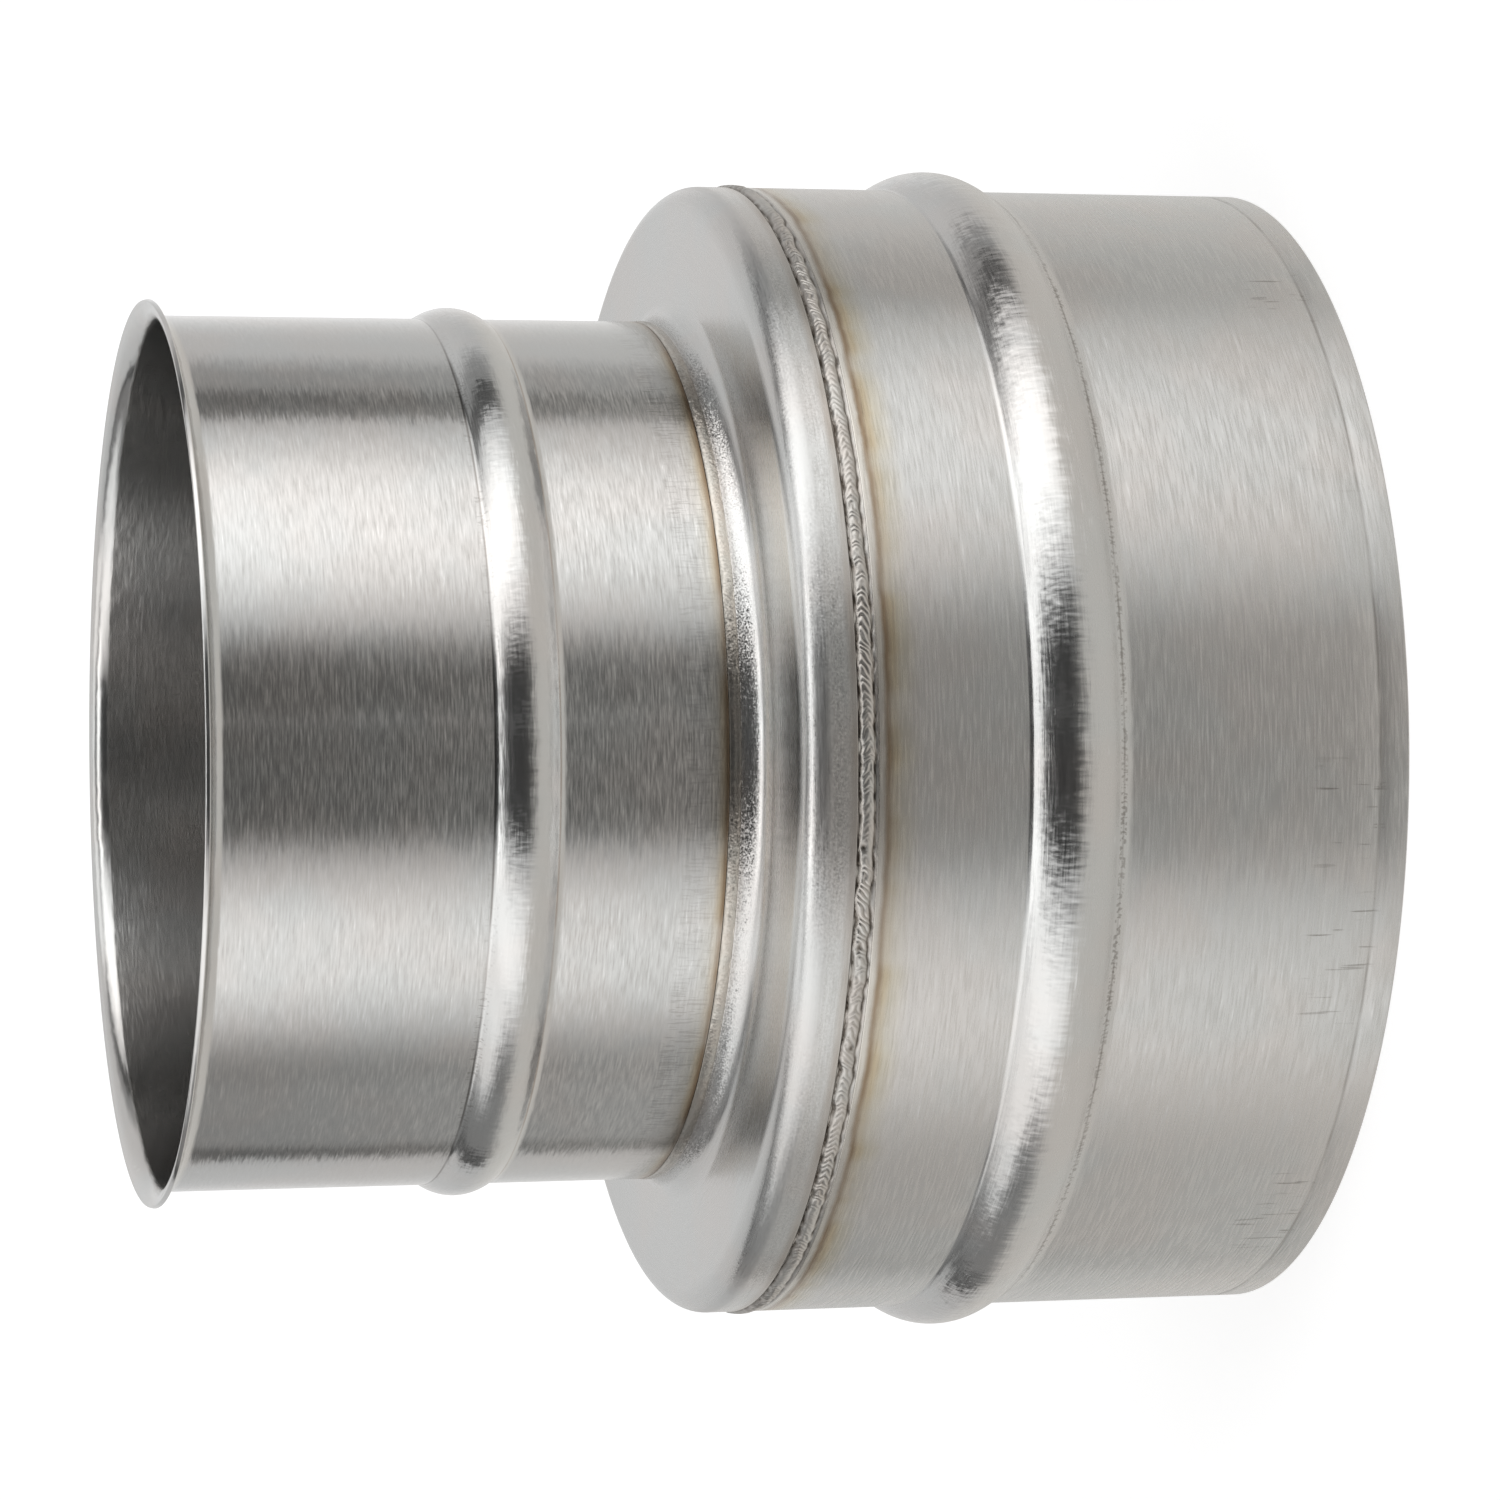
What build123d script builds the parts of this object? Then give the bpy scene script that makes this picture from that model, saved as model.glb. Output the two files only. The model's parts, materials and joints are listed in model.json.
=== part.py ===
from build123d import *
from math import acos, asin, cos, degrees, radians, sin
import os

# A flue transition adapter: a narrow spigot, a pressed shoulder and a wide collar, welded into one open duct.
# It stands on the collar's open end. The duct's axis is Z, with the spigot on top.

# Sheet and diameters
sheet = 0.6
spigot_diameter = 100.0
collar_pipe_diameter = 130.0
collar_slip_clearance = 0.1

# Lengths along the duct
collar_length = 59.5
collar_weld_width = 2.2
skirt_length = 2.9
neck_land = 0.3
neck_weld_width = 1.3
spigot_length = 57.0

# Bends of the shoulder, measured on the outer face
corner_radius = 3.0
neck_radius = 2.6

# Rolled bead of the collar: the foot on the spigot's side is the crisp one
collar_bead_setback = 37.5
collar_bead_height = 2.2
collar_bead_crest_radius = 7.0
collar_bead_lower_foot = 3.0
collar_bead_upper_foot = 0.8

# Rolled bead of the spigot, set back from the lip
spigot_bead_setback = 35.0
spigot_bead_height = 1.3
spigot_bead_crest_radius = 5.4
spigot_bead_lower_foot = 1.8
spigot_bead_upper_foot = 0.9

# Rolled lip of the spigot
lip_radius = 1.5
lip_angle = 75.0
lip_land = 0.8

# Scored line near the collar's open end
score_setback = 3.3
score_width = 0.7
score_depth = 0.1

# Deburred edges of the rim and the lip, limited by the sheet
edge_round = 0.2
edge_round_share = 0.4

# Crowns of the two welds, and the hollow toe where each runs out into the sheet
collar_weld_crown = 0.3
neck_weld_crown = 0.08
weld_toe_radius = 0.5

# Radii and heights that follow
spigot_radius = spigot_diameter / 2
collar_radius = collar_pipe_diameter / 2 + collar_slip_clearance + sheet
skirt_bottom = collar_length + collar_weld_width
shoulder_face = skirt_bottom + skirt_length + corner_radius
neck_top = shoulder_face + neck_radius + neck_land
spigot_bottom = neck_top + neck_weld_width
spigot_top = spigot_bottom + spigot_length
lip_rise = (lip_radius + sheet) * sin(radians(lip_angle)) + lip_land * cos(radians(lip_angle))
edge_fillet = min(edge_round, sheet * edge_round_share)


def beaded_wall(radius, bottom, crest, top, height, crest_radius, lower_foot, upper_foot):
    """Draw a straight wall with one rolled bead, from bottom to top, as tangent lines and arcs."""
    lower_angle = acos(1 - height / (crest_radius + lower_foot))
    upper_angle = acos(1 - height / (crest_radius + upper_foot))
    bead_bottom = crest - (crest_radius + lower_foot) * sin(lower_angle)
    wall_below = Line((radius, bottom), (radius, bead_bottom))
    foot_below = JernArc(wall_below @ 1, wall_below % 1, lower_foot, -degrees(lower_angle))
    crown = JernArc(foot_below @ 1, foot_below % 1, crest_radius, degrees(lower_angle + upper_angle))
    foot_above = JernArc(crown @ 1, crown % 1, upper_foot, -degrees(upper_angle))
    return Line(foot_above @ 1, (radius, top))


def weld_ring(radius, bottom, width, crown):
    """Draw the section of a ring weld between two butting walls: crowned outside with hollow toes, flush inside."""
    half_width = width / 2
    radii = (half_width**2 + crown**2) / (2 * crown)
    angle = degrees(asin(half_width / radii))
    toe_below = JernArc((radius, bottom), (0, 1), weld_toe_radius, -angle)
    rope = JernArc(toe_below @ 1, toe_below % 1, radii - weld_toe_radius, 2 * angle)
    toe_above = JernArc(rope @ 1, rope % 1, weld_toe_radius, -angle)
    Polyline(toe_above @ 1, (radius - sheet, bottom + width), (radius - sheet, bottom), (radius, bottom))


os.makedirs("parts", exist_ok=True)

# Collar: the outer face is drawn, and the sheet lies inside it
with BuildPart() as collar_tube:
    with BuildSketch(Plane.XZ):
        with BuildLine():
            beaded_wall(
                collar_radius,
                0,
                collar_bead_setback,
                collar_length,
                collar_bead_height,
                collar_bead_crest_radius,
                collar_bead_lower_foot,
                collar_bead_upper_foot,
            )
            offset(amount=sheet, side=Side.LEFT)
        make_face()
        fillet(vertices().group_by(Axis.Y)[0], radius=edge_fillet)
    revolve(axis=Axis.Z)
    with BuildSketch(Plane.XZ):
        with BuildLine():
            Polyline(
                (collar_radius, score_setback - score_width / 2),
                (collar_radius - score_depth, score_setback),
                (collar_radius, score_setback + score_width / 2),
                close=True,
            )
        make_face()
    revolve(axis=Axis.Z, mode=Mode.SUBTRACT)
collar_tube.part.label = "collar_tube"
export_step(collar_tube.part, "parts/collar_tube.step")

# Shoulder: skirt up, round the corner, across the annulus and up into the neck
with BuildPart() as shoulder_ring:
    with BuildSketch(Plane.XZ):
        with BuildLine():
            FilletPolyline(
                (collar_radius, skirt_bottom),
                (collar_radius, shoulder_face),
                (spigot_radius, shoulder_face),
                (spigot_radius, neck_top),
                radius=[corner_radius, neck_radius],
            )
            offset(amount=sheet, side=Side.LEFT)
        make_face()
    revolve(axis=Axis.Z)
shoulder_ring.part.label = "shoulder_ring"
export_step(shoulder_ring.part, "parts/shoulder_ring.step")

# Spigot: a beaded wall that rolls outwards into the lip
with BuildPart() as spigot_tube:
    with BuildSketch(Plane.XZ):
        with BuildLine():
            wall = beaded_wall(
                spigot_radius,
                spigot_bottom,
                spigot_top - spigot_bead_setback,
                spigot_top - lip_rise,
                spigot_bead_height,
                spigot_bead_crest_radius,
                spigot_bead_lower_foot,
                spigot_bead_upper_foot,
            )
            lip_bend = JernArc(wall @ 1, wall % 1, lip_radius, -lip_angle)
            Line(lip_bend @ 1, lip_bend @ 1 + (lip_bend % 1) * lip_land)
            offset(amount=sheet, side=Side.LEFT)
        make_face()
        fillet(vertices().sort_by(Axis.X)[-2:], radius=edge_fillet)
    revolve(axis=Axis.Z)
spigot_tube.part.label = "spigot_tube"
export_step(spigot_tube.part, "parts/spigot_tube.step")

# Ring weld between collar and shoulder
with BuildPart() as collar_weld:
    with BuildSketch(Plane.XZ):
        with BuildLine():
            weld_ring(collar_radius, collar_length, collar_weld_width, collar_weld_crown)
        make_face()
    revolve(axis=Axis.Z)
collar_weld.part.label = "collar_weld"
export_step(collar_weld.part, "parts/collar_weld.step")

# Ring weld between neck and spigot
with BuildPart() as neck_weld:
    with BuildSketch(Plane.XZ):
        with BuildLine():
            weld_ring(spigot_radius, neck_top, neck_weld_width, neck_weld_crown)
        make_face()
    revolve(axis=Axis.Z)
neck_weld.part.label = "neck_weld"
export_step(neck_weld.part, "parts/neck_weld.step")
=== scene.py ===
import bpy
import json
import math
import numpy as np
from mathutils import Matrix, Vector


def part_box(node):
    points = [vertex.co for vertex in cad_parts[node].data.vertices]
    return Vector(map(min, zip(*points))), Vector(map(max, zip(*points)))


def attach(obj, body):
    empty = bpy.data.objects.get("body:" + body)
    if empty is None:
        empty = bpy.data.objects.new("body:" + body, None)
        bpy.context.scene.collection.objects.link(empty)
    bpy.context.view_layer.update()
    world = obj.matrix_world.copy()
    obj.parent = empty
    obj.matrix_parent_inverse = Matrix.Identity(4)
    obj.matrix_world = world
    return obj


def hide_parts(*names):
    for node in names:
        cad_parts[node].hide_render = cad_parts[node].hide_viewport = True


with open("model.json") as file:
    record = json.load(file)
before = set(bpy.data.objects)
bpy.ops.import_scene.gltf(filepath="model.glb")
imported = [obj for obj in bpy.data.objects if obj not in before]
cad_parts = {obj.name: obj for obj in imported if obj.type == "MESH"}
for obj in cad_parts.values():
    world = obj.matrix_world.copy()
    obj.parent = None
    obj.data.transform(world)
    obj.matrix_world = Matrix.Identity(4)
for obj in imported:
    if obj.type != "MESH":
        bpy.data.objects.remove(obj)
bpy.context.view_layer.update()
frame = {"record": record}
mm = 0.001  # every length below is in millimetres times this

print("flue adapter: frame loaded")

# Radii and heights that the record's mounts and the CAD nodes give
mounts = {m["name"]: m for m in frame["record"]["mounts"]}
collarRadius = mounts["collar_outside"]["dims"]["r_mm"] * mm
boreRadius = mounts["collar_bore"]["dims"]["r_mm"] * mm
sheet = collarRadius - boreRadius
spigotRadius = mounts["spigot_bore"]["dims"]["r_mm"] * mm + sheet
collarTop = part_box("collar_tube")[1].z
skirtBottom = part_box("shoulder_ring")[0].z
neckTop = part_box("shoulder_ring")[1].z
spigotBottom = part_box("spigot_tube")[0].z


# Drawing a half section with one vertex, then spinning it round the duct's axis
mergeGap = 0.0005 * mm  # points nearer than this are one point
sheetEdges = {
    "bevelSteps": 3, "bevelFrom": math.radians(60), "smoothTo": math.radians(35), "flatWeight": 50,
}


def startSection(name, radius, height):
    bpy.ops.object.select_all(action="DESELECT")
    bpy.ops.mesh.primitive_plane_add(size=mm, location=(radius, 0, height))
    bpy.ops.object.transform_apply(location=True, rotation=True, scale=True)
    bpy.context.object.name = bpy.context.object.data.name = name
    bpy.ops.object.mode_set(mode="EDIT")
    bpy.ops.mesh.select_all(action="SELECT")
    bpy.ops.mesh.merge(type="CENTER")  # the plane becomes the pencil point
    return {"radius": radius, "height": height, "heading": math.pi / 2}


def drawLine(pen, length, steps=1):
    run, rise = length * math.cos(pen["heading"]), length * math.sin(pen["heading"])
    for _ in range(steps):
        bpy.ops.mesh.extrude_vertices_move(TRANSFORM_OT_translate={"value": (run / steps, 0, rise / steps)})
    pen["radius"] += run
    pen["height"] += rise


def drawBend(pen, bendRadius, turn, steps):
    # turn is in radians: plus bends to the left of the heading, minus to the right
    side = pen["heading"] + math.copysign(math.pi / 2, turn)
    centreX = pen["radius"] + bendRadius * math.cos(side)
    centreZ = pen["height"] + bendRadius * math.sin(side)
    bpy.ops.mesh.spin(steps=steps, angle=turn, center=(centreX, 0, centreZ), axis=(0, 1, 0))
    pen["heading"] += turn
    pen["radius"] = centreX - bendRadius * math.cos(side + turn)
    pen["height"] = centreZ - bendRadius * math.sin(side + turn)


def drawBead(pen, bead, crestHeight, wallTop):
    lowerTurn = math.acos(1 - bead["height"] / (bead["crestRadius"] + bead["lowerFoot"]))
    upperTurn = math.acos(1 - bead["height"] / (bead["crestRadius"] + bead["upperFoot"]))
    footHeight = crestHeight - (bead["crestRadius"] + bead["lowerFoot"]) * math.sin(lowerTurn)
    drawLine(pen, footHeight - pen["height"], bead["wallSteps"])
    drawBend(pen, bead["lowerFoot"], -lowerTurn, bead["footSteps"])
    drawBend(pen, bead["crestRadius"], lowerTurn + upperTurn, bead["crestSteps"])
    drawBend(pen, bead["upperFoot"], -upperTurn, bead["footSteps"])
    drawLine(pen, wallTop - pen["height"], bead["wallSteps"])


def turnSection(steps):
    bpy.ops.object.mode_set(mode="OBJECT")
    piece = bpy.context.object
    bpy.ops.object.modifier_add(type="SCREW")
    lathe = piece.modifiers[-1]
    lathe.axis, lathe.angle, lathe.use_merge_vertices = "Z", 2 * math.pi, True
    lathe.steps = lathe.render_steps = steps
    lathe.merge_threshold = mergeGap
    bpy.ops.object.modifier_apply(modifier=lathe.name)
    bpy.ops.object.mode_set(mode="EDIT")
    bpy.ops.mesh.select_all(action="SELECT")
    bpy.ops.mesh.remove_doubles(threshold=mergeGap)
    bpy.ops.mesh.normals_make_consistent(inside=False)
    bpy.ops.object.mode_set(mode="OBJECT")
    outward = sum(f.area * (f.normal.x * f.center.x + f.normal.y * f.center.y) for f in piece.data.polygons)
    if outward < 0:  # an open skin can come out turned round
        piece.data.flip_normals()
    return piece


def thickenSheet(piece, edgeRound):
    bpy.ops.object.modifier_add(type="SOLIDIFY")
    solid = piece.modifiers[-1]
    solid.thickness, solid.offset, solid.use_even_offset = sheet, -1, True
    bpy.ops.object.modifier_apply(modifier=solid.name)
    bpy.ops.object.modifier_add(type="BEVEL")
    bevel = piece.modifiers[-1]
    bevel.width, bevel.segments, bevel.limit_method = edgeRound, sheetEdges["bevelSteps"], "ANGLE"
    bevel.angle_limit = sheetEdges["bevelFrom"]
    bpy.ops.object.modifier_apply(modifier=bevel.name)
    bpy.ops.object.shade_smooth_by_angle(angle=sheetEdges["smoothTo"])
    bpy.ops.object.modifier_add(type="WEIGHTED_NORMAL")  # so walls stay flat beside the small bevels
    weighted = piece.modifiers[-1]
    weighted.mode, weighted.weight, weighted.keep_sharp = "FACE_AREA", sheetEdges["flatWeight"], True
    bpy.ops.object.modifier_apply(modifier=weighted.name)


def finishPiece(piece, node):
    bpy.ops.object.select_all(action="DESELECT")
    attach(piece, "root")
    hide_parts(node)
    print("flue adapter:", piece.name, "has", len(piece.data.polygons), "faces")


# Collar: the wide end, with its large bead and the scored line near its open end
collar = {
    "bead": {
        "height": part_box("collar_tube")[1].x - collarRadius, "crestRadius": 7.0 * mm,
        "lowerFoot": 3.0 * mm, "upperFoot": 0.8 * mm, "wallSteps": 10, "footSteps": 6, "crestSteps": 22,
    },
    "crestHeight": 37.5 * mm,
    "scoreHeight": 3.3 * mm, "scoreWidth": 0.7 * mm, "scoreDepth": 0.1 * mm, "rimSteps": 2,
    "edgeRound": 0.15 * mm, "stepsRound": 360,
}
pen = startSection("collarShell", collarRadius, 0)
drawLine(pen, collar["scoreHeight"] - collar["scoreWidth"] / 2, collar["rimSteps"])
scoreSide = math.hypot(collar["scoreWidth"] / 2, collar["scoreDepth"])
for lean in (1, -1):
    pen["heading"] = math.pi / 2 + lean * math.atan2(collar["scoreDepth"], collar["scoreWidth"] / 2)
    drawLine(pen, scoreSide)
pen["heading"] = math.pi / 2
drawBead(pen, collar["bead"], collar["crestHeight"], collarTop)
collarShell = turnSection(collar["stepsRound"])
thickenSheet(collarShell, collar["edgeRound"])
finishPiece(collarShell, "collar_tube")


# Shoulder: skirt, rounded corner, flat annulus and drawn neck
shoulder = {
    "skirt": 2.9 * mm, "cornerRadius": 3.0 * mm, "neckRadius": 2.6 * mm,
    "skirtSteps": 2, "bendSteps": 16, "annulusSteps": 8, "edgeRound": 0.1 * mm, "stepsRound": 360,
}
pen = startSection("shoulderShell", collarRadius, skirtBottom)
drawLine(pen, shoulder["skirt"], shoulder["skirtSteps"])
drawBend(pen, shoulder["cornerRadius"], math.pi / 2, shoulder["bendSteps"])
drawLine(pen, pen["radius"] - shoulder["neckRadius"] - spigotRadius, shoulder["annulusSteps"])
drawBend(pen, shoulder["neckRadius"], -math.pi / 2, shoulder["bendSteps"])
drawLine(pen, neckTop - pen["height"])
shoulderShell = turnSection(shoulder["stepsRound"])
thickenSheet(shoulderShell, shoulder["edgeRound"])
finishPiece(shoulderShell, "shoulder_ring")


# Spigot: the narrow end, with its small bead and the rolled lip
spigot = {
    "bead": {
        "height": 1.3 * mm, "crestRadius": 5.4 * mm, "lowerFoot": 1.8 * mm, "upperFoot": 0.9 * mm,
        "wallSteps": 10, "footSteps": 6, "crestSteps": 18,
    },
    "crestHeight": 93.8 * mm, "lipStart": 126.55 * mm,
    "lipRadius": 1.5 * mm, "lipTurn": math.radians(75), "lipLand": 0.8 * mm, "lipSteps": 12, "landSteps": 2,
    "edgeRound": 0.15 * mm, "stepsRound": 360,
}
pen = startSection("spigotShell", spigotRadius, spigotBottom)
drawBead(pen, spigot["bead"], spigot["crestHeight"], spigot["lipStart"])
drawBend(pen, spigot["lipRadius"], -spigot["lipTurn"], spigot["lipSteps"])
drawLine(pen, spigot["lipLand"], spigot["landSteps"])
spigotShell = turnSection(spigot["stepsRound"])
thickenSheet(spigotShell, spigot["edgeRound"])
finishPiece(spigotShell, "spigot_tube")


# Ring welds: a crowned rope with hollow toes, then ripples sunk into it
# the darkening given below for the toe grooves and the ripple valleys is painted shade
collarWeldSizes = {
    "crown": 0.3 * mm, "toeRadius": 0.5 * mm, "toeSteps": 4, "ropeSteps": 14, "stepsRound": 3600,
    "ropeHalf": 0.82 * mm, "ropeOffset": 0.07 * mm, "sway": 0.09 * mm,
    "grooveDepth": 0.18 * mm, "grooveWidth": 0.2 * mm, "grooveShade": 1.0,
    "pitch": 0.85 * mm, "slant": 1.25, "apexOffset": 0.15 * mm, "apexSway": 0.4 * mm, "jitter": 0.35,
    "rippleDepth": 0.16 * mm, "rippleShade": 0.75,
    "pits": 9, "pitDepth": 0.14 * mm, "pitSize": 0.28 * mm, "seed": 4,
}
neckWeldSizes = {
    "crown": 0.08 * mm, "toeRadius": 0.5 * mm, "toeSteps": 3, "ropeSteps": 8, "stepsRound": 2400,
    "ropeHalf": 0.55 * mm, "ropeOffset": -0.05 * mm, "sway": 0.06 * mm,
    "grooveDepth": 0.02 * mm, "grooveWidth": 0.12 * mm, "grooveShade": 0.3,
    "pitch": 0.6 * mm, "slant": 0.8, "apexOffset": 0, "apexSway": 0.2 * mm, "jitter": 0.7,
    "rippleDepth": 0.03 * mm, "rippleShade": 0.3,
    "pits": 5, "pitDepth": 0.04 * mm, "pitSize": 0.16 * mm, "seed": 11,
}
# what both welds share; each wander is (fewest waves round the ring, most waves, how many are added)
weldHabits = {
    "swayWander": (20, 90, 6), "widthWander": (60, 240, 8), "apexWander": (8, 40, 6),
    "jitterWander": (40, 300, 10), "depthWander": (6, 40, 6), "grooveWander": (30, 200, 8),
    "widthShare": 0.06, "valleyPower": 0.7, "edgePower": 4,
    "depthMean": 0.7, "depthSwing": 0.4, "depthLeast": 0.25,
    "grooveMean": 0.8, "grooveSwing": 0.3, "grooveLeast": 0.2,
    "pitReach": 0.7, "pitStretch": 1.5, "endFade": 0.1 * mm, "smoothTo": math.radians(70),
}


def drawWeld(name, radius, bottom, top, sizes):
    halfWidth = (top - bottom) / 2
    radii = (halfWidth**2 + sizes["crown"]**2) / (2 * sizes["crown"])
    turn = math.asin(halfWidth / radii)
    pen = startSection(name, radius, bottom)
    drawBend(pen, sizes["toeRadius"], -turn, sizes["toeSteps"])
    drawBend(pen, radii - sizes["toeRadius"], 2 * turn, sizes["ropeSteps"])
    drawBend(pen, sizes["toeRadius"], -turn, sizes["toeSteps"])
    for heading, length in ((math.pi, sheet), (-math.pi / 2, top - bottom), (0, sheet)):
        pen["heading"] = heading
        drawLine(pen, length)
    return turnSection(sizes["stepsRound"])


def wander(angle, waves, seed):
    # a smooth random line that closes round the ring, about -1 to 1
    fewest, most, added = waves
    dice = np.random.RandomState(seed)
    counts = dice.randint(fewest, most, added)
    starts = dice.uniform(0, 2 * math.pi, added)
    return sum(np.sin(n * angle + start) for n, start in zip(counts, starts)) / math.sqrt(added)


def rippleWeld(piece, radius, bottom, top, sizes):
    mesh, habits, seed = piece.data, weldHabits, sizes["seed"]
    points = np.empty(len(mesh.vertices) * 3)
    mesh.vertices.foreach_get("co", points)
    points = points.reshape(-1, 3)
    angle = np.arctan2(points[:, 1], points[:, 0])
    reach = np.hypot(points[:, 0], points[:, 1])
    outside = reach > radius - sheet / 2
    middle = (bottom + top) / 2 + sizes["ropeOffset"]
    across = points[:, 2] - (middle + sizes["sway"] * wander(angle, habits["swayWander"], seed))
    widening = habits["widthShare"] * wander(angle, habits["widthWander"], seed + 1)
    ropeHalf = sizes["ropeHalf"] * (1 + widening)
    share = np.clip(np.abs(across) / ropeHalf, 0, 1)
    raised = sizes["crown"] * np.sqrt(1 - share**2)
    # chevron ripples, with an apex line that strays across the rope
    ripples = round(2 * math.pi * radius / sizes["pitch"])
    apex = sizes["apexOffset"] + sizes["apexSway"] * wander(angle, habits["apexWander"], seed + 2)
    turns = ripples * angle / (2 * math.pi) + sizes["slant"] * np.abs(across - apex) / sizes["pitch"]
    turns += sizes["jitter"] * wander(angle, habits["jitterWander"], seed + 3)
    valley = 1 - np.abs(np.sin(math.pi * turns))**habits["valleyPower"]
    valley *= 1 - share**habits["edgePower"]
    depth = habits["depthMean"] + habits["depthSwing"] * wander(angle, habits["depthWander"], seed + 4)
    valley *= np.clip(depth, habits["depthLeast"], 1)
    # undercut grooves along both toes
    edge = (np.abs(across) - ropeHalf) / sizes["grooveWidth"]
    depth = habits["grooveMean"] + habits["grooveSwing"] * wander(angle, habits["grooveWander"], seed + 5)
    groove = np.exp(-edge**2) * np.clip(depth, habits["grooveLeast"], 1)
    pitted = np.zeros_like(angle)
    dice = np.random.RandomState(seed + 6)
    for pitAngle in dice.uniform(-math.pi, math.pi, sizes["pits"]):
        pitAcross = dice.uniform(-habits["pitReach"], habits["pitReach"]) * sizes["ropeHalf"]
        along = (angle - pitAngle) * radius / habits["pitStretch"]
        pitted = np.maximum(pitted, np.exp(-(np.hypot(along, across - pitAcross) / sizes["pitSize"])**2))
    raised -= sizes["rippleDepth"] * valley + sizes["grooveDepth"] * groove + sizes["pitDepth"] * pitted
    ends = np.minimum(points[:, 2] - bottom, top - points[:, 2])
    raised *= np.clip(ends / habits["endFade"], 0, 1)
    grown = np.where(outside, (radius + raised) / reach, 1)
    points[:, :2] *= grown[:, None]
    mesh.vertices.foreach_set("co", points.ravel())
    # how much painted shade each point gets in the weld's grooves, ripple valleys and pits, for the finish
    # to read
    hollowShade = np.maximum(np.maximum(sizes["rippleShade"] * valley, sizes["grooveShade"] * groove), pitted)
    hollow = mesh.attributes.new("hollow", "FLOAT", "POINT")
    hollow.data.foreach_set("value", np.where(outside, hollowShade, 0).astype(np.float32))
    mesh.update()


def addWeld(name, node, radius, bottom, top, sizes):
    piece = drawWeld(name, radius, bottom, top, sizes)
    rippleWeld(piece, radius, bottom, top, sizes)
    bpy.ops.object.shade_smooth_by_angle(angle=weldHabits["smoothTo"])
    finishPiece(piece, node)
    return piece


collarWeld = addWeld("collarWeld", "collar_weld", collarRadius, collarTop, skirtBottom, collarWeldSizes)
neckWeld = addWeld("neckWeld", "neck_weld", spigotRadius, neckTop, spigotBottom, neckWeldSizes)


# Finishes: small helpers for node trees, then the groups that the steels share

def addNode(tree, kind, **settings):
    node = tree.nodes.new(kind)
    for key, value in settings.items():
        setattr(node, key, value)
    return node


def feed(tree, socket, value):
    if isinstance(value, bpy.types.NodeSocket):
        tree.links.new(value, socket)
    else:
        socket.default_value = value


def calc(tree, operation, *values):
    node = addNode(tree, "ShaderNodeMath", operation=operation)
    for socket, value in zip(node.inputs, values):
        feed(tree, socket, value)
    return node.outputs[0]


def vectorCalc(tree, operation, *values):
    node = addNode(tree, "ShaderNodeVectorMath", operation=operation)
    inputs = [node.inputs[0], node.inputs["Scale"]] if operation == "SCALE" else node.inputs
    for socket, value in zip(inputs, values):
        feed(tree, socket, value)
    return node.outputs["Value" if operation == "LENGTH" else "Vector"]


def combine(tree, x, y, z):
    node = addNode(tree, "ShaderNodeCombineXYZ")
    for socket, value in zip(node.inputs, (x, y, z)):
        feed(tree, socket, value)
    return node.outputs[0]


def noiseNode(tree, vector, scale=1.0, detail=2.0, roughness=0.55):
    node = addNode(tree, "ShaderNodeTexNoise")
    feed(tree, node.inputs["Vector"], vector)
    node.inputs["Scale"].default_value = scale
    node.inputs["Detail"].default_value = detail
    node.inputs["Roughness"].default_value = roughness
    return node.outputs


def noiseOf(tree, vector, **settings):
    return noiseNode(tree, vector, **settings)["Fac"]


def fade(tree, value, low, high, smooth=True):
    node = addNode(tree, "ShaderNodeMapRange", interpolation_type="SMOOTHSTEP" if smooth else "LINEAR")
    feed(tree, node.inputs["Value"], value)
    feed(tree, node.inputs["From Min"], low)
    feed(tree, node.inputs["From Max"], high)
    return node.outputs[0]


def mixColour(tree, factor, first, second, blend="MIX"):
    node = addNode(tree, "ShaderNodeMix", data_type="RGBA", blend_type=blend)
    feed(tree, node.inputs[0], factor)
    feed(tree, node.inputs[6], first)
    feed(tree, node.inputs[7], second)
    return node.outputs[2]


def startGroup(name, inputs, outputs):
    tree = bpy.data.node_groups.new(name, "ShaderNodeTree")
    for direction, sockets in (("INPUT", inputs), ("OUTPUT", outputs)):
        for socketName, kind in sockets.items():
            tree.interface.new_socket(socketName, in_out=direction, socket_type="NodeSocket" + kind)
    return tree, addNode(tree, "NodeGroupInput").outputs, addNode(tree, "NodeGroupOutput").inputs


def useGroup(tree, group, **values):
    node = addNode(tree, "ShaderNodeGroup", node_tree=group)
    for key, value in values.items():
        feed(tree, node.inputs[key.replace("_", " ")], value)
    return node.outputs


def placeOnDuct(tree):
    split = addNode(tree, "ShaderNodeSeparateXYZ")
    feed(tree, split.inputs[0], addNode(tree, "ShaderNodeTexCoord").outputs["Object"])
    return split.outputs


def stretched(tree, x, y, z, perMetreAround, perMetreAxial):
    # a place measured in pattern sizes, which differ round the duct and along its axis
    scales = (perMetreAround, perMetreAround, perMetreAxial)
    return combine(tree, *(calc(tree, "MULTIPLY", *pair) for pair in zip((x, y, z), scales)))


def bandMask(tree, z, height, reach, evenShare):
    # 1 near one height, fading to 0 at the reach on both sides of it
    gap = calc(tree, "ABSOLUTE", calc(tree, "SUBTRACT", z, height))
    return calc(tree, "SUBTRACT", 1.0, fade(tree, gap, calc(tree, "MULTIPLY", reach, evenShare), reach))


def without(tree, mask, amount):
    # 1 where the mask is 0, and less by the amount where it is 1
    return calc(tree, "SUBTRACT", 1.0, calc(tree, "MULTIPLY", mask, amount))


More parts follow.
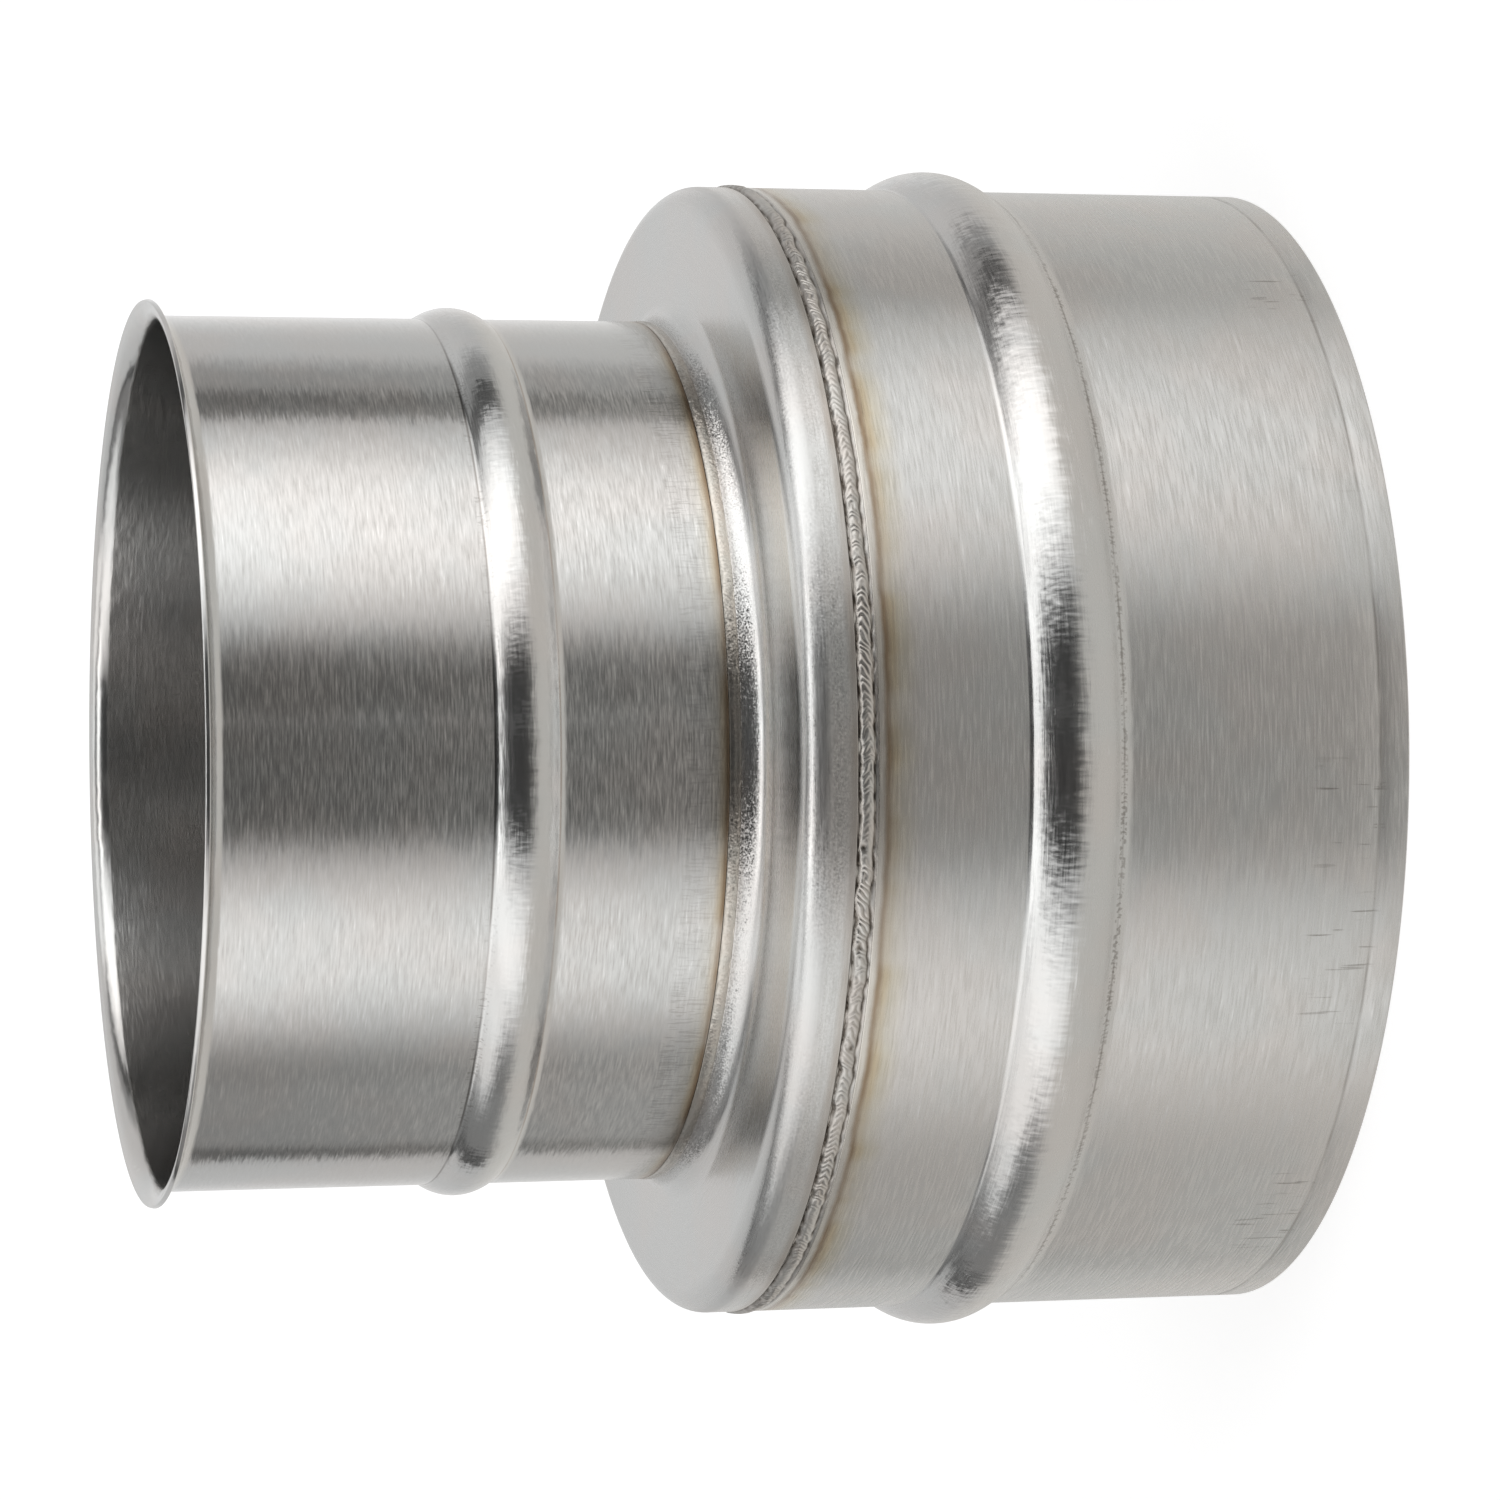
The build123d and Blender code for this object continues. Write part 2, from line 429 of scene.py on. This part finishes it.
def makeBrushGrain():
    # fine lines round the duct: a tone, and normals that lean along the axis and round it
    tree, given, result = startGroup(
        "brushGrain",
        {"Per Metre Along": "Float", "Per Metre Across": "Float", "Lean": "Float", "Jitter": "Float"},
        {"Tone": "Float", "Normal": "Vector"},
    )
    lineNoise = {"detail": 3.0, "roughness": 0.6}
    otherPlace = (17.3, 5.1, 9.7)  # where the second noise is read, so that it differs from the first
    x, y, z = placeOnDuct(tree)
    across = calc(tree, "SUBTRACT", z, vectorCalc(tree, "LENGTH", combine(tree, x, y, 0.0)))
    lines = stretched(tree, x, y, across, given["Per Metre Along"], given["Per Metre Across"])
    tone = noiseOf(tree, lines, **lineNoise)
    other = noiseOf(tree, vectorCalc(tree, "ADD", lines, otherPlace), **lineNoise)
    normal = addNode(tree, "ShaderNodeNewGeometry").outputs["Normal"]
    around = vectorCalc(tree, "NORMALIZE", combine(tree, calc(tree, "MULTIPLY", y, -1.0), x, 0.0))
    axial = vectorCalc(tree, "CROSS_PRODUCT", normal, around)
    lean = calc(tree, "MULTIPLY", calc(tree, "SUBTRACT", tone, 0.5), given["Lean"])
    jitter = calc(tree, "MULTIPLY", calc(tree, "SUBTRACT", other, 0.5), given["Jitter"])
    leant = vectorCalc(tree, "ADD", normal, vectorCalc(tree, "SCALE", axial, lean))
    leant = vectorCalc(tree, "ADD", leant, vectorCalc(tree, "SCALE", around, jitter))
    feed(tree, result["Tone"], tone)
    feed(tree, result["Normal"], vectorCalc(tree, "NORMALIZE", leant))
    return tree


def makeColourDrift():
    # the faint warm and cool clouds of rolled stainless sheet
    tree, given, result = startGroup(
        "colourDrift", {"Base": "Color", "Per Metre": "Float", "Amount": "Float"}, {"Colour": "Color"})
    warmTint, coolTint = (1.02, 0.99, 0.975, 1), (0.99, 0.995, 0.995, 1)
    coolTo, warmFrom = 0.38, 0.62
    place = addNode(tree, "ShaderNodeTexCoord").outputs["Object"]
    cloud = noiseOf(tree, vectorCalc(tree, "SCALE", place, given["Per Metre"]), detail=3.0)
    warm = mixColour(tree, given["Amount"], given["Base"], warmTint, "MULTIPLY")
    cool = mixColour(tree, given["Amount"], given["Base"], coolTint, "MULTIPLY")
    feed(tree, result["Colour"], mixColour(tree, fade(tree, cloud, coolTo, warmFrom), cool, warm))
    return tree


def makeHeatStray():
    # how far the heat strayed along the axis at each place round the duct, and where it left gaps
    tree, given, result = startGroup(
        "heatStray", {"Per Metre": "Float"}, {"Stray": "Float", "Gaps": "Float"})
    gapTo, tintFrom = 0.4, 0.6
    x, y = placeOnDuct(tree)[:2]
    flat = vectorCalc(tree, "SCALE", combine(tree, x, y, 0.0), given["Per Metre"])
    stray = noiseOf(tree, flat, scale=2.0, detail=4.0, roughness=0.6)
    tinted = fade(tree, noiseOf(tree, flat, detail=3.0), gapTo, tintFrom)
    feed(tree, result["Stray"], calc(tree, "SUBTRACT", stray, 0.5))
    feed(tree, result["Gaps"], calc(tree, "SUBTRACT", 1.0, tinted))
    return tree


def makeHeatRing():
    # a ring of tint at one height; Wander moves its edge along the stray line, Patchy opens the gaps
    inputs = ("Height", "Reach", "Stray", "Wander", "Gaps", "Patchy")
    tree, given, result = startGroup("heatRing", dict.fromkeys(inputs, "Float"), {"Mask": "Float"})
    z = placeOnDuct(tree)["Z"]
    strayed = calc(tree, "ADD", z, calc(tree, "MULTIPLY", given["Stray"], given["Wander"]))
    ring = bandMask(tree, strayed, given["Height"], given["Reach"], 0.0)
    kept = without(tree, given["Gaps"], given["Patchy"])
    feed(tree, result["Mask"], calc(tree, "MULTIPLY", ring, kept))
    return tree


def makeAxialTicks():
    # short scratches that run along the duct, in clusters inside one band of heights
    inputs = ("Height", "Reach", "Per Metre", "Stretch", "Rarity", "Clusters")
    tree, given, result = startGroup("axialTicks", dict.fromkeys(inputs, "Float"), {"Mask": "Float"})
    tickEdge, evenShare = 0.06, 0.6
    clustersPerMetre, bareTo, clusterFrom = 45.0, 0.5, 0.58
    clusterPlace = 3.0
    x, y, z = placeOnDuct(tree)
    axial = calc(tree, "DIVIDE", given["Per Metre"], given["Stretch"])
    marks = noiseOf(tree, stretched(tree, x, y, z, given["Per Metre"], axial), detail=1.0)
    marks = fade(tree, marks, given["Rarity"], calc(tree, "ADD", given["Rarity"], tickEdge))
    inside = bandMask(tree, z, given["Height"], given["Reach"], evenShare)
    cluster = noiseOf(tree, combine(tree, x, y, clusterPlace), scale=clustersPerMetre)
    bare = calc(tree, "SUBTRACT", 1.0, fade(tree, cluster, bareTo, clusterFrom))
    kept = without(tree, bare, given["Clusters"])
    feed(tree, result["Mask"], calc(tree, "MULTIPLY", calc(tree, "MULTIPLY", marks, inside), kept))
    return tree


def makeRollMarks():
    # small dents that the rolls and the hammer left, inside one band of heights: they tilt the normal
    inputs = {"Normal": "Vector", "Height": "Float", "Reach": "Float", "Per Metre Around": "Float",
              "Per Metre Axial": "Float", "Depth": "Float"}
    tree, given, result = startGroup("rollMarks", inputs, {"Normal": "Vector"})
    evenShare = 0.4
    x, y, z = placeOnDuct(tree)
    places = stretched(tree, x, y, z, given["Per Metre Around"], given["Per Metre Axial"])
    dents = noiseNode(tree, places, roughness=0.5)["Color"]
    inside = bandMask(tree, z, given["Height"], given["Reach"], evenShare)
    tilt = vectorCalc(tree, "SUBTRACT", dents, (0.5, 0.5, 0.5))
    tilt = vectorCalc(tree, "SCALE", tilt, calc(tree, "MULTIPLY", inside, given["Depth"]))
    tilted = vectorCalc(tree, "ADD", given["Normal"], tilt)
    feed(tree, result["Normal"], vectorCalc(tree, "NORMALIZE", tilted))
    return tree


brushGrain, colourDrift = makeBrushGrain(), makeColourDrift()
heatStray, heatRing = makeHeatStray(), makeHeatRing()
axialTicks, rollMarks = makeAxialTicks(), makeRollMarks()


# Steel of the three sheet pieces. Heights are on the duct's axis.
# rings: height, reach, wander, patchiness, colour, strength
# ticks: height, reach, number per metre, stretch, rarity, clustering, strength
# marks: height, reach, number per metre round the duct and along it, depth
# burnished: height, reach, how much shinier (minus is duller)
brownTint, strawTint, goldTint = (0.27, 0.19, 0.12, 1), (0.55, 0.495, 0.365, 1), (0.47, 0.36, 0.21, 1)
# the dark colour on the next line marks scratches and the dark lines along the creases and the scored line,
# and it is the painted shade in the welds' hollows
paleTint, markAndShadeTint = (0.64, 0.60, 0.54, 1), (0.10, 0.08, 0.06, 1)
sheetSteel = {
    "base": (0.62, 0.618, 0.608, 1), "driftPerMetre": 60.0, "drift": 1.0, "strayPerMetre": 70.0,
    "glintTint": (0.86, 0.86, 0.855, 1), "glintFrom": 0.66, "glintTo": 0.72,  # the odd bright brush line
    "roughLeast": 0.8, "brushTurn": 0.25,
}
spigotSteel = {
    "roughness": 0.19, "roughSpread": 0.1, "anisotropy": 0.8, "along": 400.0, "wide": 4600.0,
    "lean": 0.27, "jitter": 0.09, "grainTone": 0.1, "glints": 0.2,
    "rings": (
        (72.8 * mm, 2.0 * mm, 0.9 * mm, 0.4, strawTint, 0.3),
        (72.3 * mm, 1.0 * mm, 0.7 * mm, 0.6, goldTint, 0.65),
        (72.0 * mm, 0.55 * mm, 0.35 * mm, 0.4, brownTint, 0.95),
        (97.5 * mm, 0.2 * mm, 0.1 * mm, 0.5, markAndShadeTint, 0.6),
        (90.4 * mm, 0.2 * mm, 0.1 * mm, 0.5, brownTint, 0.5),
    ),
    "ticks": (
        (74.6 * mm, 2.6 * mm, 3600.0, 9.0, 0.54, 0.5, 0.17),
        (97.4 * mm, 0.8 * mm, 3600.0, 4.0, 0.58, 0.6, 0.25),
    ),
    "marks": ((93.8 * mm, 3.4 * mm, 3000.0, 450.0, 0.14),),
    "burnished": (),
}
shoulderSteel = {
    "roughness": 0.25, "roughSpread": 0.3, "anisotropy": 0.6, "along": 260.0, "wide": 4200.0,
    "lean": 0.12, "jitter": 0.1, "grainTone": 0.2, "glints": 0.2,
    "rings": (
        (62.0 * mm, 1.0 * mm, 0.5 * mm, 0.4, brownTint, 0.4),
        (70.7 * mm, 1.0 * mm, 0.5 * mm, 0.4, brownTint, 0.3),
    ),
    "ticks": (),
    "marks": (
        (69.9 * mm, 1.7 * mm, 5000.0, 5000.0, 0.75),
        (65.0 * mm, 3.4 * mm, 4000.0, 4000.0, 0.19),
    ),
    "burnished": ((65.3 * mm, 1.5 * mm, -0.12),),
}
collarSteel = {
    "roughness": 0.28, "roughSpread": 0.3, "anisotropy": 0.6, "along": 260.0, "wide": 4200.0,
    "lean": 0.21, "jitter": 0.12, "grainTone": 0.12, "glints": 0.35,
    "rings": (
        (57.3 * mm, 3.0 * mm, 1.6 * mm, 0.5, strawTint, 0.65),
        (59.3 * mm, 0.9 * mm, 0.5 * mm, 0.3, paleTint, 0.7),
        (57.8 * mm, 1.1 * mm, 1.0 * mm, 0.6, goldTint, 0.6),
        (58.4 * mm, 0.7 * mm, 0.9 * mm, 0.3, brownTint, 0.9),
        (32.4 * mm, 0.22 * mm, 0.1 * mm, 0.6, markAndShadeTint, 0.5),
        (3.3 * mm, 0.3 * mm, 0.0, 0.6, markAndShadeTint, 0.42),
    ),
    "ticks": (
        (6.8 * mm, 4.6 * mm, 2400.0, 14.0, 0.64, 1.0, 0.5),
        (32.4 * mm, 0.5 * mm, 3000.0, 2.5, 0.52, 0.3, 0.45),
    ),
    "marks": ((38.0 * mm, 5.4 * mm, 2200.0, 280.0, 0.24),),
    "burnished": ((39.2 * mm, 5.6 * mm, 0.07),),
}


def startMaterial(name, piece):
    material = bpy.data.materials.new(name)
    material.use_nodes = True
    piece.data.materials.append(material)
    return material.node_tree, material.node_tree.nodes["Principled BSDF"]


def makeSteel(name, piece, finish):
    tree, shader = startMaterial(name, piece)
    shader.inputs["Metallic"].default_value = 1
    shader.inputs["Anisotropic"].default_value = finish["anisotropy"]
    shader.inputs["Anisotropic Rotation"].default_value = sheetSteel["brushTurn"]
    tangent = addNode(tree, "ShaderNodeTangent", direction_type="RADIAL", axis="Z")
    feed(tree, shader.inputs["Tangent"], tangent.outputs["Tangent"])
    grain = useGroup(tree, brushGrain, Per_Metre_Along=finish["along"], Per_Metre_Across=finish["wide"],
                     Lean=finish["lean"], Jitter=finish["jitter"])
    colour = useGroup(tree, colourDrift, Base=sheetSteel["base"], Per_Metre=sheetSteel["driftPerMetre"],
                      Amount=sheetSteel["drift"])["Colour"]
    shade = calc(tree, "MULTIPLY", grain["Tone"], finish["grainTone"])
    shade = calc(tree, "ADD", shade, 1 - finish["grainTone"] / 2)
    colour = mixColour(tree, 1.0, colour, combine(tree, shade, shade, shade), "MULTIPLY")
    glints = fade(tree, grain["Tone"], sheetSteel["glintFrom"], sheetSteel["glintTo"])
    glints = calc(tree, "MULTIPLY", glints, finish["glints"])
    colour = mixColour(tree, glints, colour, sheetSteel["glintTint"])
    heat = useGroup(tree, heatStray, Per_Metre=sheetSteel["strayPerMetre"])
    for height, reach, wanders, patchy, tint, strength in finish["rings"]:
        ring = useGroup(tree, heatRing, Height=height, Reach=reach, Stray=heat["Stray"], Wander=wanders,
                        Gaps=heat["Gaps"], Patchy=patchy)["Mask"]
        colour = mixColour(tree, calc(tree, "MULTIPLY", ring, strength), colour, tint)
    for height, reach, perMetre, stretch, rarity, clusters, strength in finish["ticks"]:
        scratch = useGroup(tree, axialTicks, Height=height, Reach=reach, Per_Metre=perMetre,
                           Stretch=stretch, Rarity=rarity, Clusters=clusters)["Mask"]
        colour = mixColour(tree, calc(tree, "MULTIPLY", scratch, strength), colour, markAndShadeTint)
    feed(tree, shader.inputs["Base Color"], colour)
    normal = grain["Normal"]
    for height, reach, around, axial, depth in finish["marks"]:
        normal = useGroup(tree, rollMarks, Normal=normal, Height=height, Reach=reach,
                          Per_Metre_Around=around, Per_Metre_Axial=axial, Depth=depth)["Normal"]
    feed(tree, shader.inputs["Normal"], normal)
    rough = calc(tree, "MULTIPLY", calc(tree, "SUBTRACT", grain["Tone"], 0.5), finish["roughSpread"])
    rough = calc(tree, "ADD", rough, finish["roughness"])
    rough = calc(tree, "MAXIMUM", rough, finish["roughness"] * sheetSteel["roughLeast"])
    for height, reach, shine in finish["burnished"]:
        polished = useGroup(tree, heatRing, Height=height, Reach=reach)["Mask"]
        rough = calc(tree, "SUBTRACT", rough, calc(tree, "MULTIPLY", polished, shine))
    feed(tree, shader.inputs["Roughness"], rough)


# Weld metal: the proud rope is duller and has more painted shade in its hollows than the flush, dented neck
# weld
weldMetal = {
    "driftPerMetre": 300.0, "drift": 1.0, "mottlePerMetre": 1400.0, "roughSpread": 0.2,
    "dentsPerMetre": 4400.0, "dentsReach": 10 * mm,
}
ropeSteel = {"base": (0.60, 0.58, 0.55, 1), "roughness": 0.36, "hollowShade": 0.9, "dents": 0.15}
neckSteel = {"base": (0.58, 0.55, 0.50, 1), "roughness": 0.22, "hollowShade": 0.4, "dents": 0.35}


def makeWeldSteel(name, piece, finish):
    tree, shader = startMaterial(name, piece)
    shader.inputs["Metallic"].default_value = 1
    colour = useGroup(tree, colourDrift, Base=finish["base"], Per_Metre=weldMetal["driftPerMetre"],
                      Amount=weldMetal["drift"])["Colour"]
    hollow = addNode(tree, "ShaderNodeAttribute", attribute_name="hollow").outputs["Fac"]
    # painted shade: the hollow attribute darkens the weld's grooves, ripple valleys and pits
    colour = mixColour(tree, calc(tree, "MULTIPLY", hollow, finish["hollowShade"]), colour, markAndShadeTint)
    feed(tree, shader.inputs["Base Color"], colour)
    place = addNode(tree, "ShaderNodeTexCoord").outputs["Object"]
    mottle = noiseOf(tree, place, scale=weldMetal["mottlePerMetre"], detail=3.0)
    rough = calc(tree, "MULTIPLY", mottle, weldMetal["roughSpread"])
    rough = calc(tree, "ADD", rough, finish["roughness"] - weldMetal["roughSpread"] / 2)
    feed(tree, shader.inputs["Roughness"], rough)
    middle = (piece.bound_box[0][2] + piece.bound_box[1][2]) / 2
    plain = addNode(tree, "ShaderNodeNewGeometry").outputs["Normal"]
    perMetre = weldMetal["dentsPerMetre"]
    dented = useGroup(tree, rollMarks, Normal=plain, Height=middle, Reach=weldMetal["dentsReach"],
                      Per_Metre_Around=perMetre, Per_Metre_Axial=perMetre, Depth=finish["dents"])["Normal"]
    feed(tree, shader.inputs["Normal"], dented)


makeSteel("collarSteel", collarShell, collarSteel)
makeSteel("shoulderSteel", shoulderShell, shoulderSteel)
makeSteel("spigotSteel", spigotShell, spigotSteel)
makeWeldSteel("ropeSteel", collarWeld, ropeSteel)
makeWeldSteel("neckSteel", neckWeld, neckSteel)
print("flue adapter: finishes made")


# Studio: a world of softboxes, a paper sweep, dark cards, a pale floor and a strip light overhead.
# Directions are in degrees, round from the camera with plus to the right, and up from level.
# softboxes, kicker, sweep, gap: direction, half width of the even part, half width to the edge, brightness
# flags: direction, half width of the dark part, half width to the edge, share of the light that they stop
studio = {
    "softboxes": (
        (-53, 3, 43, 1.42),  # the left softbox
        (62, 4, 48, 1.85),  # the right one, larger and brighter
        (176, 47, 60, 0.42),  # the wall behind the duct
        (172, 0, 40, 0.08),  # its middle
        (116, 0, 34, 0.07),  # light that the right one throws on the side wall
    ),
    "boxDimAt": -12, "boxFullAt": 22, "boxDim": 0.82, "boxTopFrom": 50, "boxTopTo": 70,
    "kicker": (-90, 6, 24, 0.8), "kickerFrom": 6, "kickerFullAt": 22,  # high up beyond the left softbox
    "sweep": (172, 0, 40, 0.23), "sweepTop": 10, "sweepFullAt": -10,  # brightest near the floor
    "flags": ((-1, 15, 25.5, 1), (5, 12, 30, 1), (102.5, 4.5, 7, 0.9), (-129, 1, 6, 1)),
    "gap": (8, 0, 1.6, 0.14),  # light between two of the cards, beside the camera
    "roomLevel": 0.05, "sideLevel": 0.22, "sideFrom": 80, "sideTo": 100,
    "floorColour": (0.71, 0.695, 0.665, 1), "floorRimAt": -8,
    "floorFullInFront": -28, "floorFullAtSides": -20, "frontTo": 22, "sidesFrom": 48,
    "ceilingLevel": 1.0, "ceilingInFront": 0.27, "ceilingRise": (54, 66), "ceilingFall": (84, 72),
    "stripLevel": 1.8, "stripPitch": 68, "stripEven": 5, "stripEdge": 14, "stripEnds": (0.5, 0.25),
}
world = bpy.data.worlds.new("studio")
bpy.context.scene.world = world
world.use_nodes = True
sky = world.node_tree
sky.nodes.clear()
direction = addNode(sky, "ShaderNodeSeparateXYZ")
feed(sky, direction.inputs[0], addNode(sky, "ShaderNodeTexCoord").outputs["Generated"])
x, y, z = direction.outputs
toCamera = calc(sky, "MULTIPLY", y, -1.0)  # the camera is on the -Y side
azimuth = calc(sky, "ARCTAN2", x, toCamera)
aside = calc(sky, "ABSOLUTE", azimuth)
height = calc(sky, "ARCSINE", z)


def times(first, second):
    return calc(sky, "MULTIPLY", first, second)


def plus(first, second):
    return calc(sky, "ADD", first, second)


def ramp(mask, low, high):
    # low where the mask is 0 and high where it is 1
    return plus(times(mask, high - low), low)


def between(value, fromDegrees, toDegrees, smooth=True):
    # 0 at the first angle and 1 at the second, whichever is larger
    return fade(sky, value, math.radians(fromDegrees), math.radians(toDegrees), smooth)


def aroundFrom(centre):
    turned = calc(sky, "COSINE", calc(sky, "SUBTRACT", azimuth, math.radians(centre)))
    return calc(sky, "ARCCOSINE", turned)


def glowFrom(centre, even, edge, level):
    return times(between(aroundFrom(centre), edge, even), level)


walls = 0.0
for softbox in studio["softboxes"]:
    walls = plus(walls, glowFrom(*softbox))
kicker = between(height, studio["kickerFrom"], studio["kickerFullAt"])
walls = plus(walls, times(glowFrom(*studio["kicker"]), kicker))
boxLight = ramp(between(height, studio["boxDimAt"], studio["boxFullAt"]), studio["boxDim"], 1)
boxLight = times(boxLight, between(height, studio["boxTopTo"], studio["boxTopFrom"]))
behind = between(aside, studio["sideFrom"], studio["sideTo"])
walls = plus(times(walls, boxLight), times(behind, studio["sideLevel"]))
sweep = between(height, studio["sweepTop"], studio["sweepFullAt"])
walls = plus(walls, times(glowFrom(*studio["sweep"]), sweep))
for centre, even, edge, stopped in studio["flags"]:
    walls = times(walls, ramp(between(aroundFrom(centre), even, edge), 1 - stopped, 1))
walls = plus(plus(walls, studio["roomLevel"]), glowFrom(*studio["gap"]))
ceiling = ramp(behind, studio["ceilingInFront"], studio["ceilingLevel"])
ceiling = times(ceiling, between(height, *studio["ceilingRise"]))
ceiling = times(ceiling, between(height, *studio["ceilingFall"]))
pitch = calc(sky, "SUBTRACT", calc(sky, "ARCTAN2", z, toCamera), math.radians(studio["stripPitch"]))
strip = between(calc(sky, "ABSOLUTE", pitch), studio["stripEdge"], studio["stripEven"])
strip = times(strip, fade(sky, calc(sky, "ABSOLUTE", x), *studio["stripEnds"]))
dome = plus(walls, plus(ceiling, times(strip, studio["stripLevel"])))
sideways = between(aside, studio["frontTo"], studio["sidesFrom"])
floorInFront = between(height, studio["floorRimAt"], studio["floorFullInFront"], smooth=False)
floorAtSides = between(height, studio["floorRimAt"], studio["floorFullAtSides"], smooth=False)
floorShare = mixColour(sky, sideways, floorInFront, floorAtSides)
dome = mixColour(sky, floorShare, dome, studio["floorColour"])
light, backdrop = addNode(sky, "ShaderNodeBackground"), addNode(sky, "ShaderNodeBackground")
feed(sky, light.inputs["Color"], dome)
feed(sky, backdrop.inputs["Color"], (1, 1, 1, 1))
# the picture and anything see-through get plain white
# the metal reflects the studio, its pale floor and wall included
rays = addNode(sky, "ShaderNodeLightPath").outputs
choose = addNode(sky, "ShaderNodeMixShader")
feed(sky, choose.inputs[0], calc(sky, "MAXIMUM", rays["Is Camera Ray"], rays["Is Transmission Ray"]))
feed(sky, choose.inputs[1], light.outputs[0])
feed(sky, choose.inputs[2], backdrop.outputs[0])
feed(sky, addNode(sky, "ShaderNodeOutputWorld").inputs["Surface"], choose.outputs[0])
print("flue adapter: studio lit")


# Floor: a pale plane that glows a little, and a dark disc inside the collar that is painted shade, where a
# real floor is in shade
paleFloor = {"width": 8, "colour": (0.5, 0.5, 0.5, 1), "glowColour": (1, 1, 1, 1), "glow": 0.65}
paintedShadeDisc = {"vertices": 180, "gap": 0.02 * mm, "height": 0.3 * mm, "colour": (0.065, 0.063, 0.06, 1)}


def paintFloor(name, piece, colour):
    shader = startMaterial(name, piece)[1]
    shader.inputs["Base Color"].default_value = colour
    shader.inputs["Roughness"].default_value = 1
    return shader


bpy.ops.object.select_all(action="DESELECT")
bpy.ops.mesh.primitive_plane_add(size=paleFloor["width"], location=(0, 0, 0))
floor = bpy.context.object
floor.name = "floor"
floor.visible_glossy = False  # the metal reflects the studio's own floor
floorShader = paintFloor("paleFloor", floor, paleFloor["colour"])
floorShader.inputs["Specular IOR Level"].default_value = 0
floorShader.inputs["Emission Color"].default_value = paleFloor["glowColour"]
floorShader.inputs["Emission Strength"].default_value = paleFloor["glow"]

bpy.ops.object.select_all(action="DESELECT")
bpy.ops.mesh.primitive_circle_add(vertices=paintedShadeDisc["vertices"], radius=boreRadius - paintedShadeDisc["gap"],
                                  fill_type="NGON", location=(0, 0, paintedShadeDisc["height"]))
innerShadeDisc = bpy.context.object
innerShadeDisc.name = "innerShadeDisc"
# the disc's dark colour is painted shade
paintFloor("paintedShadeDisc", innerShadeDisc, paintedShadeDisc["colour"])


# Camera: the duct stands upright, and the picture is taken with the camera rolled a quarter turn
view = {
    "place": (0, -0.5945, 0.20486), "lens": 124.92, "sensor": 36, "nearest": 0.01, "farthest": 50,
    "right": (-0.00753, -0.24112, -0.97047), "down": (-0.99997, 0.00169, 0.00734),
    "ahead": (-0.00013, 0.97049, -0.24113),
}
bpy.ops.object.camera_add()
camera = bpy.context.object
camera.name = "camera"
camera.data.lens, camera.data.sensor_width = view["lens"], view["sensor"]
camera.data.clip_start, camera.data.clip_end = view["nearest"], view["farthest"]
axes = Matrix((Vector(view["right"]), -Vector(view["down"]), -Vector(view["ahead"]))).transposed()
camera.matrix_world = Matrix.Translation(view["place"]) @ axes.to_4x4()
bpy.context.scene.camera = camera
bpy.context.scene.view_settings.view_transform = "Standard"

print("flue adapter: ready")
